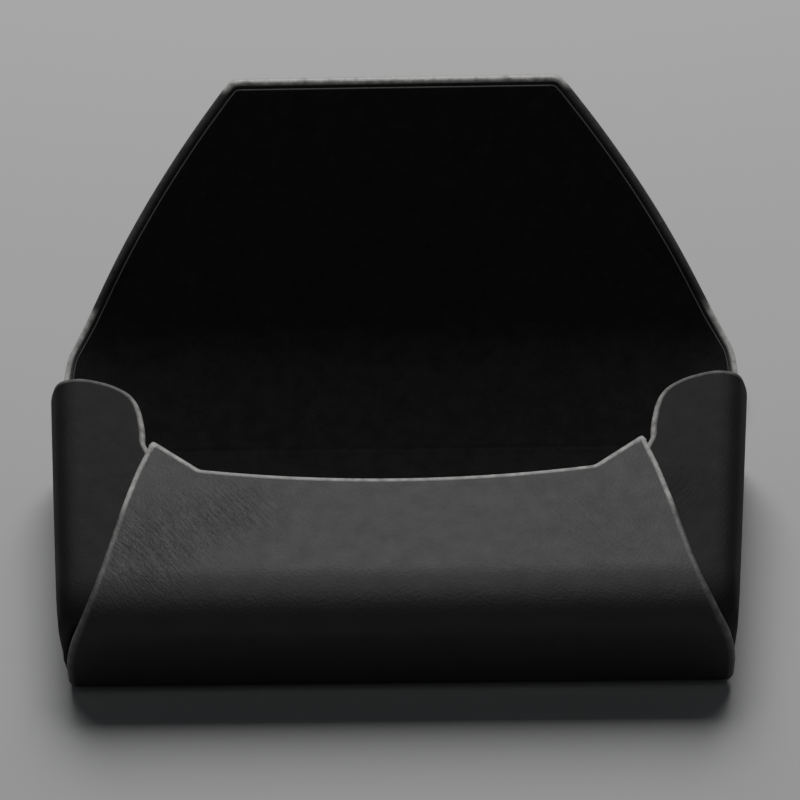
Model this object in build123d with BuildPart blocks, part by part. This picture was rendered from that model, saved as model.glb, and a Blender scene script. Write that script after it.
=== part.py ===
"""Folding envelope case, lying open on its back: one black hide with stiffeners
and a suede lining, two curled wings, a front panel and a two-fold closing flap.

Frame: millimetres, +X to the right, +Y from the bottom wall to the mouth, +Z up.
The back panel lies on z = 0, and the bottom wall's outer face is at y = 0 here;
everything is moved at the end so that the origin is at the middle of the footprint.
"""

import math
import os

from build123d import *

os.makedirs("parts", exist_ok=True)

# ---------------------------------------------------------------- driving sizes
CASE_LENGTH = 78.0  # bottom wall to the axis of the first crease
CASE_HEIGHT = 30.0  # outer height of the bottom wall
BASE_HALF = 77.0  # half width of the bottom wall
MOUTH_FLARE = 9.3  # how much wider each side of the mouth is than the bottom wall
WALL_LENGTH = 32.0  # first crease to second crease
FLAP_LENGTH = 71.0  # second crease to the tip
TIP_HALF = 41.5  # half width of the flap's tip
CORNER = 3.0  # rounding of the bottom wall's lower corners
FOLD_RADIUS = 4.0  # outer radius of the fold between back panel and wing
SHOULDER = 7.0  # a wing's upper bend at its tight end
WING_PUFF = 3.0  # how far the wings stand up beside the front panel at the mouth
TUCK = 9.0  # how far a wing reaches under the front panel
BEND_RADIUS = 12.0  # outer radius between bottom wall and front panel
LOW_RADIUS = 2.8  # outer radius between back panel and bottom wall
FRONT_SLOPE = 2.0  # degrees that the front panel rises towards the mouth

# pose of the two creases in the open case, in degrees above the floor
WALL_ANGLE = 15.0
FLAP_ANGLE = 60.0
FLAP_CURL = 6.0  # the flap turns by this much more along its length

# ---------------------------------------------------------------- layers
LEATHER = 1.0
BOARD = 1.0
LINING = 0.6
SHEET = LEATHER + BOARD + LINING
HALF = SHEET / 2
HEM = 2.3  # width of the turned leather border round the lining

# ---------------------------------------------------------------- clearances
CREASE_GAP = 0.3  # between a crease's bead and the sheet that turns round it
MOUTH_GAP = 2.0  # from the crease axis back to the rim of the wings
TUCK_GAP = 0.8  # between the front panel and a wing tucked under it
BEND_GAP = 1.0  # and how much more of it there is inside the bend
CORNER_GAP = 0.1  # between the bottom wall and the end of a wing
GLUE_LINE = 0.02  # between a wing's curved board and its lining
POCKET_FIT = 0.05  # round a magnet in its board

# ---------------------------------------------------------------- tied sizes
NECK = 2.0  # length of thin leather beside a bead
NECK_HALF = 0.8
BEAD = HALF
WELL = BEAD + CREASE_GAP
LIP = math.radians(30)
STRIP = 2.2  # leather-only strip next to a crease
MOUTH_Y = CASE_LENGTH - MOUTH_GAP
MOUTH_HALF = BASE_HALF + MOUTH_FLARE
WING_Y = LOW_RADIUS + CORNER_GAP
WALL_TOP = CASE_HEIGHT - BEND_RADIUS
EAR_HALF = 0.766 * BASE_HALF
EAR_Y = 0.66 * CASE_LENGTH
NOTCH_HALF = 0.622 * BASE_HALF
NOTCH_Y = 0.541 * CASE_LENGTH
DIP_Y = 0.504 * CASE_LENGTH
SIDE_START = CASE_HEIGHT / 3
MAGNET_R = 5.0
MAGNET_X = 0.3 * BASE_HALF
KEEPER_Y = max(CASE_LENGTH - 0.8 * FLAP_LENGTH, BEND_RADIUS + MAGNET_R + 1)
MAGNET_REACH = CASE_LENGTH - KEEPER_Y
WING_STATIONS = [
    WING_Y - 1.0, 0.092 * MOUTH_Y, 0.184 * MOUTH_Y, 0.447 * MOUTH_Y, 0.724 * MOUTH_Y,
    MOUTH_Y + 1.0,
]

slope = math.radians(FRONT_SLOPE)
CREASE_1 = (CASE_LENGTH, HALF)
wall_dir = math.radians(WALL_ANGLE)
CREASE_2 = (
    CREASE_1[0] + WALL_LENGTH * math.cos(wall_dir),
    CREASE_1[1] + WALL_LENGTH * math.sin(wall_dir),
)
flap_dir = math.radians(FLAP_ANGLE)
curl = math.radians(FLAP_CURL)
FLAP_R = FLAP_LENGTH / curl

wide = MOUTH_HALF + 20

# sides of the flap's first panel: share of its length, width beyond the mouth's
WALL_SHAPE = [(-0.1, -6.4), (0, -5.3), (0.125, -3.3), (0.31, -0.9), (0.56, 0.7),
              (0.75, 0.9), (0.94, -0.1), (1.04, -1.5), (1.13, -2.7)]

# sides of the main panel: share of its length, share of the way in to the tip
FLAP_SHAPE = [(-0.05, -0.03), (0.03, 0.016), (0.113, 0.089), (0.183, 0.153),
              (0.254, 0.207), (0.394, 0.321), (0.535, 0.46), (0.676, 0.61),
              (0.817, 0.765), (0.958, 0.94), (0.982, 0.972)]

# shape of a wing's rim, as shares of its run from the outer corner to the ear
RIM = [(0, 0), (0.12, 0.005), (0.309, 0.064), (0.498, 0.164), (0.687, 0.3),
       (0.834, 0.473), (0.945, 0.727), (1, 1)]


# ---------------------------------------------------------------- outlines
def arc_length(y):
    """Length along the front panel's outer face from the floor to depth y."""
    if y < BEND_RADIUS:
        turned = math.acos((BEND_RADIUS - y) / BEND_RADIUS)
        return WALL_TOP + BEND_RADIUS * turned
    return WALL_TOP + BEND_RADIUS * math.pi / 2 + (y - BEND_RADIUS)


def edge_x(along):
    """Half width of the bottom wall and front panel at a length along the sheet."""
    end = arc_length(EAR_Y)
    part = max(0.0, along - SIDE_START) / (end - SIDE_START)
    return BASE_HALF - (BASE_HALF - EAR_HALF) * part


def fold_x(y):
    """Half width of the flat back panel at depth y."""
    part = (y - WING_Y) / (MOUTH_Y - WING_Y)
    low, high = BASE_HALF - 3.4, MOUTH_HALF - 5.5
    return low + (high - low) * part


def bulge_x(y):
    """Widest half width of the body at depth y."""
    part = min(1.0, max(0.0, y / MOUTH_Y))
    return BASE_HALF + 0.3 + (MOUTH_HALF - BASE_HALF - 0.3) * (1 - (1 - part) ** 1.6)


def under_front(y):
    """Height of the front panel's inner face at depth y."""
    inner = BEND_RADIUS - SHEET
    if y < BEND_RADIUS:
        return WALL_TOP + math.sqrt(max(0.0, inner**2 - (BEND_RADIUS - y) ** 2))
    return WALL_TOP + inner + (y - BEND_RADIUS) * math.tan(slope)


def wing_curve(y, depth):
    """Points of the right wing's section at depth y, from the fold beside the back
    panel to the end tucked under the front panel, moved inwards by depth."""
    xf, xm = fold_x(y), bulge_x(y)
    under = under_front(y) - TUCK_GAP - BEND_GAP * max(0.0, 1 - y / BEND_RADIUS)
    rise = min(1.0, max(0.0, (y - BEND_RADIUS) / (MOUTH_Y - BEND_RADIUS)))
    top = under + WING_PUFF * math.sin(rise * math.pi / 2)
    r = SHOULDER + 2.0 * rise
    f = FOLD_RADIUS
    edge = edge_x(arc_length(y))
    tuck = edge - TUCK
    points = [
        (xf - 3.0, 0.0),
        (xf - 1.5, 0.0),
        (xf, 0.0),
        (xf + f * 0.383, f * 0.076),
        (xf + f * 0.707, f * 0.293),
        (xf + f * 0.95, f * 0.69),
        (xm - 0.35, 0.3 * top),
        (xm, 0.5 * top),
        (xm - 0.12 * r, top - 0.62 * r),
        (xm - 0.29 * r, top - 0.29 * r),
        (xm - 0.6 * r, top - 0.075 * r),
        (xm - r, top),
    ]
    flat = xm - r
    for part in (0.25, 0.5, 0.75, 1.0):
        x = flat + part * (tuck - flat)
        share = min(1.0, max(0.0, (x - edge) / max(flat - edge, 0.001)))
        points.append((x, under - 0.25 * part + (top - under) * share))
    ahead = (points[-1][0] - points[-2][0], points[-1][1] - points[-2][1])
    return moved_in(points, depth, (1.0, 0.0), ahead)


def moved_in(points, inset, first, last):
    """The points of a curve moved to its left by inset; first and last are the
    directions it leaves and arrives in."""
    out = []
    for i, (x, y) in enumerate(points):
        if i == 0:
            tx, ty = first
        elif i == len(points) - 1:
            tx, ty = last
        else:
            ahead, behind = points[i + 1], points[i - 1]
            tx, ty = ahead[0] - behind[0], ahead[1] - behind[1]
        size = math.hypot(tx, ty)
        out.append((x - inset * ty / size, y + inset * tx / size))
    return out


# ---------------------------------------------------------------- shared solids
def wing_band(shallow, deep):
    """The right wing's sheet between two depths, before its outline is cut."""
    with BuildPart() as band:
        for y in WING_STATIONS:
            with BuildSketch(Plane(origin=(0, y, 0), x_dir=(1, 0, 0), z_dir=(0, -1, 0))):
                outer, inner = wing_curve(y, shallow), wing_curve(y, deep)
                with BuildLine():
                    Spline(*outer)
                    Line(outer[-1], inner[-1])
                    Spline(*inner)
                    Line(outer[0], inner[0])
                make_face()
        loft()
    return band.part


def wing_outline(inset):
    """Everything inside the right wing's rim, as a prism; inset moves the rim in."""
    x_out, y_out = MOUTH_HALF - 4.3, MOUTH_Y
    x_in, y_in = EAR_HALF + 1.3, EAR_Y + 2.5
    rim = [
        (x_out - fx * (x_out - x_in), y_out - fy * (y_out - y_in)) for fx, fy in RIM
    ]
    low = edge_x(arc_length(WING_Y)) - TUCK + 0.8 + inset
    turn = edge_x(arc_length(EAR_Y - 7)) - TUCK + 0.8 + inset
    moved = moved_in(rim, inset, (-1.0, 0.0), (-0.1, -1.0))
    start = WING_Y - (1.5 if inset else 0.0)
    with BuildPart() as prism:
        with BuildSketch(Plane.XY.offset(-5)):
            with BuildLine():
                Polyline((wide, start), (wide, moved[0][1]), moved[0])
                Spline(*moved, tangents=[(-1, 0), (-0.1, -1)])
                Polyline(moved[-1], (x_in - 3.2 + inset, EAR_Y - 4.5),
                         (turn, EAR_Y - 7), (low, start), (wide, start))
            make_face()
        extrude(amount=CASE_HEIGHT + 20)
    return prism.part


def front_band(shallow, deep):
    """Bottom wall, bend and front panel between two depths, full width."""
    low_c = (LOW_RADIUS, LOW_RADIUS)
    top_c = (BEND_RADIUS, WALL_TOP)
    reach = CASE_LENGTH

    def ring(centre, radius, degrees):
        a = math.radians(degrees)
        return (centre[0] + radius * math.cos(a), centre[1] + radius * math.sin(a))

    def side(depth):
        lo, hi = LOW_RADIUS - depth, BEND_RADIUS - depth
        end = 90 + FRONT_SLOPE
        last = ring(top_c, hi, end)
        far = (last[0] + reach * math.cos(slope), last[1] + reach * math.sin(slope))
        return lo, hi, end, last, far

    with BuildPart() as band:
        with BuildSketch(Plane.YZ):
            with BuildLine():
                lo, hi, end, last, far = side(shallow)
                a = ring(low_c, lo, 270)
                b = ring(low_c, lo, 180)
                c = ring(top_c, hi, 180)
                ThreePointArc(a, ring(low_c, lo, 225), b)
                Line(b, c)
                ThreePointArc(c, ring(top_c, hi, (180 + end) / 2), last)
                Line(last, far)
                lo2, hi2, end, last2, far2 = side(deep)
                Line(far, far2)
                Line(far2, last2)
                c2 = ring(top_c, hi2, 180)
                b2 = ring(low_c, lo2, 180)
                a2 = ring(low_c, lo2, 270)
                ThreePointArc(last2, ring(top_c, hi2, (180 + end) / 2), c2)
                Line(c2, b2)
                ThreePointArc(b2, ring(low_c, lo2, 225), a2)
                Line(a2, a)
            make_face()
        extrude(amount=wide, both=True)
    return band.part


def front_outline(inset):
    """Everything inside the edge of the bottom wall and front panel."""
    s_mid = WALL_TOP + BEND_RADIUS * math.pi / 4
    y_mid = BEND_RADIUS * (1 - math.cos(math.pi / 4))
    z_mid = WALL_TOP + BEND_RADIUS * math.sin(math.pi / 4)
    x_mid = edge_x(s_mid)
    with BuildPart() as prism:
        # the wall, seen from the front
        with BuildSketch(Plane.XZ.offset(2)):
            with BuildLine():
                Polyline(
                    (0, -8), (BASE_HALF - CORNER, -8), (BASE_HALF - CORNER, 0),
                    (BASE_HALF - 0.3 * CORNER, 0.3 * CORNER), (BASE_HALF, CORNER),
                    (BASE_HALF, SIDE_START), (x_mid, z_mid), (x_mid, z_mid + 8),
                    (0, z_mid + 8), (0, -8),
                )
            make_face()
            mirror(about=Plane.YZ)
            if inset:
                offset(amount=-inset, kind=Kind.INTERSECTION, mode=Mode.REPLACE)
        extrude(amount=-(CASE_LENGTH))
        with BuildSketch(Plane.XY.offset(z_mid)):
            Rectangle(4 * wide, 4 * wide)
        extrude(amount=30, mode=Mode.SUBTRACT)
        # the panel, seen from above
        with BuildSketch(Plane.XY.offset(z_mid)):
            with BuildLine():
                Polyline((0, -8), (x_mid, -8), (x_mid, y_mid),
                         (edge_x(arc_length(BEND_RADIUS)), BEND_RADIUS),
                         (EAR_HALF, EAR_Y))
                Line((EAR_HALF, EAR_Y), (NOTCH_HALF, NOTCH_Y))
                ThreePointArc((NOTCH_HALF, NOTCH_Y), (0, DIP_Y), (-NOTCH_HALF, NOTCH_Y))
                Line((-NOTCH_HALF, NOTCH_Y), (-EAR_HALF, EAR_Y))
                Polyline((-EAR_HALF, EAR_Y),
                         (-edge_x(arc_length(BEND_RADIUS)), BEND_RADIUS),
                         (-x_mid, y_mid), (-x_mid, -8), (0, -8))
            make_face()
            if inset:
                offset(amount=-inset, kind=Kind.INTERSECTION, mode=Mode.REPLACE)
        extrude(amount=CASE_HEIGHT)
    return prism.part


def along(centre, direction):
    """A plane across X at a point of the YZ plane: its x axis runs along the sheet
    and its y axis points to the lined side."""
    return Plane(
        origin=(0, centre[0], centre[1]),
        x_dir=(0, math.cos(direction), math.sin(direction)),
        z_dir=(1, 0, 0),
    )


def facing(centre, direction):
    """The plane of the sheet itself at that point: x to the right, y along it."""
    return Plane(
        origin=(0, centre[0], centre[1]),
        x_dir=(1, 0, 0),
        z_dir=(0, -math.sin(direction), math.cos(direction)),
    )


def well_face():
    """Section of a sheet's edge where it turns round a bead, with room to fold."""
    lip = (WELL * math.cos(LIP), WELL * math.sin(LIP))
    bevel = (lip[0] + HALF - lip[1], HALF)
    with BuildSketch() as face:
        with BuildLine():
            ThreePointArc((lip[0], -lip[1]), (WELL, 0), lip)
            Polyline(lip, bevel, (bevel[0] + 1.5, HALF), (bevel[0] + 1.5, -HALF),
                     (bevel[0], -HALF), (lip[0], -lip[1]))
        make_face()
    return face.sketch


BEVEL_END = WELL * math.cos(LIP) + HALF - WELL * math.sin(LIP)


def wall_outline(inset):
    """Outline of the flap's first panel in its own plane, from crease to crease."""
    side = [(MOUTH_HALF + wider, WALL_LENGTH * part) for part, wider in WALL_SHAPE]
    side = moved_in(side, inset, (0.5, 1.0), (-0.5, 1.0))
    low = BEVEL_END + STRIP if inset else -3.0
    high = WALL_LENGTH - NECK - STRIP if inset else WALL_LENGTH + 3.0
    with BuildPart() as prism:
        with BuildSketch(facing(CREASE_1, wall_dir).offset(-5)):
            with BuildLine():
                Spline(*side)
                Polyline(side[-1], (-side[-1][0], side[-1][1]))
                Spline(*[(-x, u) for x, u in side])
                Polyline(side[0], (-side[0][0], side[0][1]))
            make_face()
            with Locations((0, (low + high) / 2)):
                Rectangle(4 * wide, high - low, mode=Mode.INTERSECT)
        extrude(amount=10)
    return prism.part


def flap_outline(inset):
    """Outline of the flap's main panel in the plane of its chord."""
    start = MOUTH_HALF - 0.9
    side = [
        (start - share * (start - TIP_HALF), FLAP_LENGTH * part)
        for part, share in FLAP_SHAPE
    ]
    side = moved_in(side, inset, (-0.35, 1.0), (-0.66, 0.75))
    tip = FLAP_LENGTH - inset
    corner = (side[-1][0] - 1.9, tip)
    low = BEVEL_END + STRIP if inset else -2.0
    with BuildPart() as prism:
        with BuildSketch(facing(CREASE_2, flap_dir + curl / 2).offset(-12)):
            with BuildLine():
                Spline(*side)
                ThreePointArc(side[-1], (side[-1][0] - 0.62, tip - 0.42), corner)
                Polyline(corner, (-corner[0], tip))
                ThreePointArc((-corner[0], tip), (0.62 - side[-1][0], tip - 0.42),
                              (-side[-1][0], side[-1][1]))
                Spline(*[(-x, u) for x, u in side])
                Polyline(side[0], (-side[0][0], side[0][1]))
            make_face()
            with Locations((0, low + wide)):
                Rectangle(4 * wide, 2 * wide, mode=Mode.INTERSECT)
        extrude(amount=24)
    return prism.part


def flap_point(reach, depth):
    """Point of the flap's section, reach along it and depth towards its lined side
    from its middle."""
    cy = CREASE_2[0] - FLAP_R * math.sin(flap_dir)
    cz = CREASE_2[1] + FLAP_R * math.cos(flap_dir)
    turn = flap_dir + reach / FLAP_R
    r = FLAP_R - depth
    return (cy + r * math.sin(turn), cz - r * math.cos(turn))


def flap_band(low, high):
    """The flap's curved sheet between two depths, full width."""
    a, b = BEVEL_END, FLAP_LENGTH + 5
    with BuildPart() as band:
        with BuildSketch(Plane.YZ):
            with BuildLine():
                ThreePointArc(*[flap_point(u, low) for u in (a, (a + b) / 2, b)])
                Line(flap_point(b, low), flap_point(b, high))
                ThreePointArc(*[flap_point(u, high) for u in (b, (a + b) / 2, a)])
                Line(flap_point(a, high), flap_point(a, low))
            make_face()
        extrude(amount=wide, both=True)
    return band.part


# ---------------------------------------------------------------- back panel
def back_plan(y0, y1, shift=0.0):
    """Corners of the flat back panel between two depths, seen from above."""
    a, b = fold_x(y0) - shift, fold_x(y1) - shift
    return [(-a, y0), (a, y0), (b, y1), (-b, y1), (-a, y0)]


BACK_END = CASE_LENGTH - NECK
BACK_CORE = CASE_LENGTH - NECK - STRIP
BEAD_1_HALF = fold_x(BACK_END) - 0.5

with BuildPart() as back_leather:
    with BuildSketch():
        with BuildLine():
            Polyline(*back_plan(LOW_RADIUS, BACK_END))
        make_face()
    extrude(amount=SHEET)
    with BuildSketch(Plane.XY.offset(LEATHER)):
        with BuildLine():
            Polyline(*back_plan(LOW_RADIUS - 1, BACK_CORE, shift=-1))
        make_face()
    extrude(amount=SHEET, mode=Mode.SUBTRACT)
    # thin neck and bead that the crease turns on
    with BuildSketch(Plane.YZ.offset(-BEAD_1_HALF)):
        with Locations((BACK_END + NECK / 2 - 0.1, HALF)):
            Rectangle(NECK + 0.2, 2 * NECK_HALF)
        with Locations(CREASE_1):
            Circle(BEAD)
    extrude(amount=2 * BEAD_1_HALF)

with BuildPart() as back_board:
    with BuildSketch(Plane.XY.offset(LEATHER)):
        with BuildLine():
            Polyline(*back_plan(LOW_RADIUS, BACK_CORE))
        make_face()
    extrude(amount=BOARD)

with BuildPart() as back_lining:
    with BuildSketch(Plane.XY.offset(LEATHER + BOARD)):
        with BuildLine():
            Polyline(*back_plan(LOW_RADIUS, BACK_CORE))
        make_face()
    extrude(amount=LINING)

# ---------------------------------------------------------------- front panel
front_full = front_outline(0)
front_core = front_outline(HEM)

with BuildPart() as front_board:
    add(front_band(LEATHER, LEATHER + BOARD))
    add(front_core, mode=Mode.INTERSECT)
    # pockets for the two steel keepers
    with Locations(*[(side * MAGNET_X, KEEPER_Y, CASE_HEIGHT) for side in (-1, 1)]):
        Cylinder(MAGNET_R + POCKET_FIT, 8, mode=Mode.SUBTRACT)

with BuildPart() as front_lining:
    add(front_band(LEATHER + BOARD, SHEET))
    add(front_core, mode=Mode.INTERSECT)

# the hollow inside the turned hem, which the board and the lining fill
with BuildPart() as front_hollow:
    add(front_band(LEATHER, SHEET))
    add(front_core, mode=Mode.INTERSECT)

with BuildPart() as front_leather:
    add(front_band(0, SHEET))
    add(front_full, mode=Mode.INTERSECT)
    add(front_hollow.part, mode=Mode.SUBTRACT)

keepers = []
for side, word in ((-1, "left"), (1, "right")):
    with BuildPart() as keeper:
        add(front_band(LEATHER, LEATHER + BOARD))
        with Locations((side * MAGNET_X, KEEPER_Y, CASE_HEIGHT)):
            Cylinder(MAGNET_R, 8, mode=Mode.INTERSECT)
    keepers.append((f"keeper_{word}", keeper.part))

# ---------------------------------------------------------------- wings
wing_full = wing_outline(0)
wing_core = wing_outline(HEM)

# what lies over the flat back panel belongs to the back panel, not to the wing
with BuildPart() as foot:
    with BuildSketch(Plane.XY.offset(-1)):
        with BuildLine():
            Polyline((0, -20), (fold_x(-20), -20), (fold_x(CASE_LENGTH + 20), CASE_LENGTH + 20),
                     (0, CASE_LENGTH + 20), (0, -20))
        make_face()
    extrude(amount=SHEET + 2)

with BuildPart() as wing_hollow:
    add(wing_band(LEATHER, SHEET + 1))
    add(wing_core, mode=Mode.INTERSECT)

with BuildPart() as wing_leather:
    add(wing_band(0, SHEET))
    add(foot.part, mode=Mode.SUBTRACT)
    add(wing_full, mode=Mode.INTERSECT)
    add(wing_hollow.part, mode=Mode.SUBTRACT)

with BuildPart() as wing_board:
    add(wing_band(LEATHER, LEATHER + BOARD))
    add(foot.part, mode=Mode.SUBTRACT)
    add(wing_full, mode=Mode.INTERSECT)
    add(wing_core, mode=Mode.INTERSECT)

with BuildPart() as wing_lining:
    add(wing_band(LEATHER + BOARD + GLUE_LINE, SHEET))
    add(foot.part, mode=Mode.SUBTRACT)
    add(wing_full, mode=Mode.INTERSECT)
    add(wing_core, mode=Mode.INTERSECT)


# ---------------------------------------------------------------- flap, first panel
wall_core = wall_outline(HEM)

with BuildPart() as wall_hollow:
    with BuildSketch(along(CREASE_1, wall_dir)):
        with Locations((WALL_LENGTH / 2, LEATHER - HALF + 2)):
            Rectangle(2 * WALL_LENGTH, 4)
    extrude(amount=wide, both=True)
    add(wall_core, mode=Mode.INTERSECT)

with BuildPart() as wall_leather:
    with BuildSketch(along(CREASE_1, wall_dir)):
        with Locations(((BEVEL_END + WALL_LENGTH - NECK) / 2, 0)):
            Rectangle(WALL_LENGTH - NECK - BEVEL_END, SHEET)
        add(well_face())
        with Locations((WALL_LENGTH - NECK / 2 - 0.1, 0)):
            Rectangle(NECK + 0.2, 2 * NECK_HALF)
        with Locations((WALL_LENGTH, 0)):
            Circle(BEAD)
    extrude(amount=wide, both=True)
    add(wall_outline(0), mode=Mode.INTERSECT)
    add(wall_hollow.part, mode=Mode.SUBTRACT)

with BuildPart() as wall_board:
    with BuildSketch(along(CREASE_1, wall_dir)):
        with Locations((WALL_LENGTH / 2, LEATHER - HALF + BOARD / 2)):
            Rectangle(2 * WALL_LENGTH, BOARD)
    extrude(amount=wide, both=True)
    add(wall_core, mode=Mode.INTERSECT)

with BuildPart() as wall_lining:
    with BuildSketch(along(CREASE_1, wall_dir)):
        with Locations((WALL_LENGTH / 2, HALF - LINING / 2)):
            Rectangle(2 * WALL_LENGTH, LINING)
    extrude(amount=wide, both=True)
    add(wall_core, mode=Mode.INTERSECT)

# ---------------------------------------------------------------- flap, main panel
flap_core = flap_outline(HEM)
magnet_spots = [(side * MAGNET_X, MAGNET_REACH) for side in (-1, 1)]

with BuildPart() as flap_hollow:
    add(flap_band(LEATHER - HALF, HALF + 1))
    add(flap_core, mode=Mode.INTERSECT)

with BuildPart() as flap_leather:
    add(flap_band(-HALF, HALF))
    with BuildSketch(along(CREASE_2, flap_dir)):
        add(well_face())
    extrude(amount=wide, both=True)
    add(flap_outline(0), mode=Mode.INTERSECT)
    add(flap_hollow.part, mode=Mode.SUBTRACT)

with BuildPart() as flap_board:
    add(flap_band(LEATHER - HALF, LEATHER + BOARD - HALF))
    add(flap_core, mode=Mode.INTERSECT)
    with BuildSketch(facing(CREASE_2, flap_dir + curl / 2).offset(-12)):
        with Locations(*magnet_spots):
            Circle(MAGNET_R + POCKET_FIT)
    extrude(amount=24, mode=Mode.SUBTRACT)

with BuildPart() as flap_lining:
    add(flap_band(LEATHER + BOARD - HALF, HALF))
    add(flap_core, mode=Mode.INTERSECT)

magnets = []
for spot, word in zip(magnet_spots, ("left", "right")):
    with BuildPart() as magnet:
        with BuildSketch(facing(CREASE_2, flap_dir + curl / 2).offset(-12)):
            with Locations(spot):
                Circle(MAGNET_R)
        extrude(amount=24)
        add(flap_band(LEATHER - HALF, LEATHER + BOARD - HALF), mode=Mode.INTERSECT)
    magnets.append((f"magnet_{word}", magnet.part))

# ---------------------------------------------------------------- hand over
pieces = {
    "back_leather": back_leather.part,
    "back_board": back_board.part,
    "back_lining": back_lining.part,
    "front_leather": front_leather.part,
    "front_board": front_board.part,
    "front_lining": front_lining.part,
    "wing_leather_right": wing_leather.part,
    "wing_board_right": wing_board.part,
    "wing_lining_right": wing_lining.part,
    "wing_leather_left": wing_leather.part.mirror(Plane.YZ),
    "wing_board_left": wing_board.part.mirror(Plane.YZ),
    "wing_lining_left": wing_lining.part.mirror(Plane.YZ),
    "wall_leather": wall_leather.part,
    "wall_board": wall_board.part,
    "wall_lining": wall_lining.part,
    "flap_leather": flap_leather.part,
    "flap_board": flap_board.part,
    "flap_lining": flap_lining.part,
    **dict(keepers),
    **dict(magnets),
}

# the origin goes to the middle of the footprint, on the floor
deepest = flap_leather.part.bounding_box().max.Y
shift = Location((0, -deepest / 2, 0))
for name, solid in pieces.items():
    placed = shift * solid
    placed.label = name
    export_step(placed, f"parts/{name}.step")

print(f"moved by {-deepest / 2:.3f} mm along Y")
print(f"first crease  y {CREASE_1[0] - deepest / 2:.3f}  z {CREASE_1[1]:.3f}")
print(f"second crease y {CREASE_2[0] - deepest / 2:.3f}  z {CREASE_2[1]:.3f}")
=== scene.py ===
# %% [markdown]
# # A folding envelope case in black leather
#
# The case lies open on its back. One hide, stiffened with board and lined with
# black suede, is folded into a shallow pocket with two curled wings, a front panel
# and a flap that turns on two creases. This notebook starts from the measured CAD
# model, which stays fixed, and lays skins of leather and suede over it.

# %% Load the measured model
import math

import bmesh
import bpy
import numpy as np
from mathutils import Matrix, Vector
from mathutils.geometry import delaunay_2d_cdt


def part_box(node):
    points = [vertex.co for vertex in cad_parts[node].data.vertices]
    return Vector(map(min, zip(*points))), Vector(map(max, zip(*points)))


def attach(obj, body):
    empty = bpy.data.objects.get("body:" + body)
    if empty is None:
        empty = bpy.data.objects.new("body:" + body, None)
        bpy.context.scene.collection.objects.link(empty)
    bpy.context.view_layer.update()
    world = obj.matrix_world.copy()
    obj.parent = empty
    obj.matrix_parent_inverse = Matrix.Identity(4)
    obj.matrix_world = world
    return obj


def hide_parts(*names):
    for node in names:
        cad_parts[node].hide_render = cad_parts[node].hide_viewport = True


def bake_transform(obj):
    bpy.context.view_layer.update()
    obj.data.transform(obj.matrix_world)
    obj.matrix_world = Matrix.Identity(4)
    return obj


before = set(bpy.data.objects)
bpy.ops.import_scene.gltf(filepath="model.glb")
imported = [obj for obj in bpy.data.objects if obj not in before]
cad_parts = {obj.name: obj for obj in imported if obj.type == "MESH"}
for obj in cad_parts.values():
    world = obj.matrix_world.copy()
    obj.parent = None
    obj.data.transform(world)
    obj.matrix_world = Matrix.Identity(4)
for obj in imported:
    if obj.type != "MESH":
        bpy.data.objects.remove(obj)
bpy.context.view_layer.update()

# %% [markdown]
# ## Sizes
#
# Leather workers measure from the fold lines, so all sizes here are millimetres
# from the bottom wall, with the back panel on the table. `in_frame` turns such a
# point into metres in the model's own frame. The place of the bottom wall comes
# from the CAD's front panel, so nothing is fitted by eye.

# %% The case's sizes
MM = 0.001
CASE_LENGTH, CASE_HEIGHT = 78.0, 30.0
BASE_HALF, MOUTH_HALF = 77.0, 86.3
WALL_LENGTH, FLAP_LENGTH, TIP_HALF = 32.0, 71.0, 41.5
LEATHER, BOARD, LINING, HEM = 1.0, 1.0, 0.6, 2.3
SHEET = LEATHER + BOARD + LINING
FOLD_RADIUS, SHOULDER, WING_PUFF, TUCK = 4.0, 5.2, 2.6, 9.0
BEND_RADIUS, LOW_RADIUS, FRONT_SLOPE = 12.0, 2.8, math.radians(2)
WALL_ANGLE, FLAP_ANGLE, FLAP_CURL = (math.radians(a) for a in (15, 60, 6))
MOUTH_Y = CASE_LENGTH - 2.0
WING_Y = LOW_RADIUS + 0.1
WALL_TOP = CASE_HEIGHT - BEND_RADIUS
EAR_Y, NOTCH_HALF, NOTCH_Y, DIP_Y = 53.1, 46.9, 42.9, 39.3
BOTTOM_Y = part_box("front_leather")[0].y / MM


def in_frame(points):
    """Points in millimetres from the bottom wall, in metres in the model's frame."""
    return (np.asarray(points, float) + (0.0, BOTTOM_Y, 0.0)) * MM


print(f"the bottom wall stands {-BOTTOM_Y:.2f} mm in front of the origin")

# %% [markdown]
# ## Sheets bent in one direction
#
# Leather over board bends like paper: it curves one way only. So each panel is
# described by a surface function that takes two lengths measured on the flat
# sheet and gives the point in space. A path of lines and arcs, measured by its
# own length, gives the side view of the front panel and of the back with its flap.


# %% A path of lines and arcs
class Path:
    """A line in the YZ plane made of straight runs and arcs, read by length."""

    def __init__(self, y, z, heading):
        self.points = [(y, z)]
        self.headings = [heading]

    def run(self, length, step=0.5):
        self.bend(length, 0.0, step)

    def bend(self, length, turn, step=0.25):
        count = max(1, int(math.ceil(length / step)))
        for _ in range(count):
            heading = self.headings[-1] + turn / count
            middle = heading - turn / count / 2
            y, z = self.points[-1]
            self.points.append((y + math.cos(middle) * length / count,
                                z + math.sin(middle) * length / count))
            self.headings.append(heading)

    def ready(self):
        self.points = np.array(self.points)
        steps = np.linalg.norm(np.diff(self.points, axis=0), axis=1)
        self.length = np.concatenate(([0.0], np.cumsum(steps)))
        self.headings = np.array(self.headings)
        return self

    def at(self, s):
        y = np.interp(s, self.length, self.points[:, 0])
        z = np.interp(s, self.length, self.points[:, 1])
        return y, z, np.interp(s, self.length, self.headings)


print("made: Path, a side view that is read by its length")

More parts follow.
